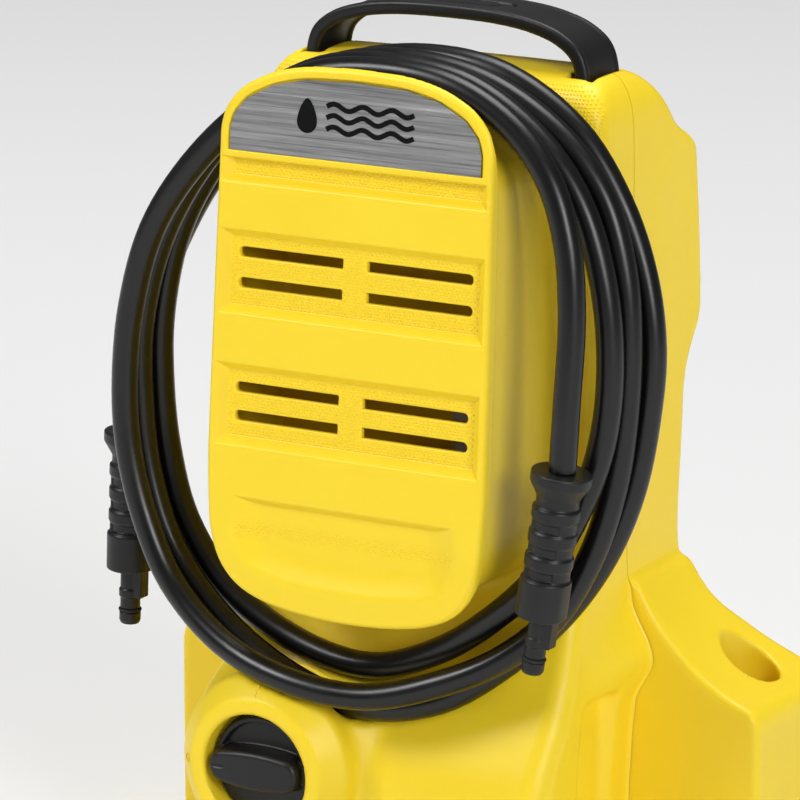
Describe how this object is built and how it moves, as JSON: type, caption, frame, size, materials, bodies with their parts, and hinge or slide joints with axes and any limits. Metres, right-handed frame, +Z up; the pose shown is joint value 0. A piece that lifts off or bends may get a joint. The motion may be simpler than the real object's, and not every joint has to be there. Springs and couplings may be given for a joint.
{
  "type": "pressure washer",
  "caption": "Compact upright electric pressure washer in yellow plastic with a black high-pressure hose wound on its front holder",
  "frame": {"origin": "on the floor, under the centre of the machine's box without the hose", "axes": "+X to the machine's right seen from the front, -Y to the front (hose holder cover), +Z up"},
  "size_m": [0.2865, 0.1842, 0.39],
  "materials": {
    "yellow_plastic": "satin, fine grain",
    "brushed_plate": "brushed along its width",
    "black_plastic": "fine grain",
    "soft_grip": "ribbed",
    "grey_plastic": "plain",
    "steel": "machined",
    "copper": "varnished",
    "cast_alloy": "die cast",
    "rubber": "matt",
    "hose_rubber": "extruded, semi-matt"
  },
  "bodies": {
    "housing": {"front_shell": "yellow_plastic", "rear_shell": "yellow_plastic", "hose_holder_cover": "yellow_plastic", "trim_plate": "brushed_plate", "carry_handle": "black_plastic", "handle_grip_inlay": "soft_grip", "housing_screws": "steel", "feet": "rubber", "cable_gland": "black_plastic", "knob_seal": "rubber", "microswitch": "grey_plastic", "stator_core": "steel", "stator_windings": "copper", "motor_top_bracket": "grey_plastic", "motor_fan_cowl": "grey_plastic", "upper_bearing": "steel", "lower_bearing": "steel", "brush_holders": "copper", "carbon_brushes": "grey_plastic", "brush_springs": "steel", "capacitor": "grey_plastic", "gear_housing": "cast_alloy", "swash_bearing": "copper", "cylinder_block": "cast_alloy", "pistons": "steel", "piston_springs": "steel", "piston_seals": "rubber", "pump_head": "cast_alloy", "inlet_valves": "grey_plastic", "outlet_valve": "steel", "pump_bolts": "steel", "pressure_rod_spring": "steel", "pressure_switch": "grey_plastic", "water_inlet": "black_plastic", "inlet_filter": "steel", "inlet_oring": "rubber", "pressure_outlet": "black_plastic", "hose": "hose_rubber", "hose_grip_front": "black_plastic", "hose_plug_front": "black_plastic", "hose_oring_front": "rubber", "hose_grip_rear": "black_plastic", "hose_plug_rear": "black_plastic", "hose_oring_rear": "rubber"},
    "rotor": {"motor_shaft": "steel", "armature_core": "steel", "armature_windings": "copper", "commutator": "copper", "cooling_fan": "grey_plastic", "motor_pinion": "steel"},
    "swash": {"drive_gear": "grey_plastic", "swash_plate": "steel"},
    "knob": {"switch_knob": "black_plastic", "switch_cam_shaft": "steel"},
    "plunger": {"switch_plunger": "grey_plastic"},
    "rod": {"pressure_rod": "steel"},
    "release_button": {"outlet_release_button": "grey_plastic"}
  },
  "joints": [
    {"name": "rotor_spin", "type": "hinge", "parent": "housing", "child": "rotor", "pos_m": [-0.008, 0.02, 0.25], "axis": [0, 0, 1], "continuous": true},
    {"name": "swash_spin", "type": "hinge", "parent": "housing", "child": "swash", "pos_m": [0.028, 0.02, 0.165], "axis": [0, 0, 1], "continuous": true},
    {"name": "switch_turn", "type": "hinge", "parent": "housing", "child": "knob", "pos_m": [-0.043, -0.08, 0.0785], "axis": [0, 1, 0], "range_deg": [0, 90]},
    {"name": "switch_plunger_slide", "type": "slide", "parent": "housing", "child": "plunger", "axis": [1, 0, 0], "range_m": [0, 0.0031]},
    {"name": "pressure_rod_slide", "type": "slide", "parent": "housing", "child": "rod", "axis": [0, 0, 1], "range_m": [0, 0.0025], "stiffness_N_per_m": 1500, "springref_m": -0.002, "deforming": ["pressure_rod_spring"]},
    {"name": "release_button_push", "type": "slide", "parent": "housing", "child": "release_button", "axis": [0, 1, 0], "range_m": [0, 0.003], "stiffness_N_per_m": 800, "springref_m": -0.002}
  ],
  "couplings": [
    {"joint": "swash_spin", "follows": "rotor_spin", "ratio": -0.33333},
    {"joint": "switch_plunger_slide", "follows": "switch_turn", "m_per_rad": 0.0019099}
  ]
}
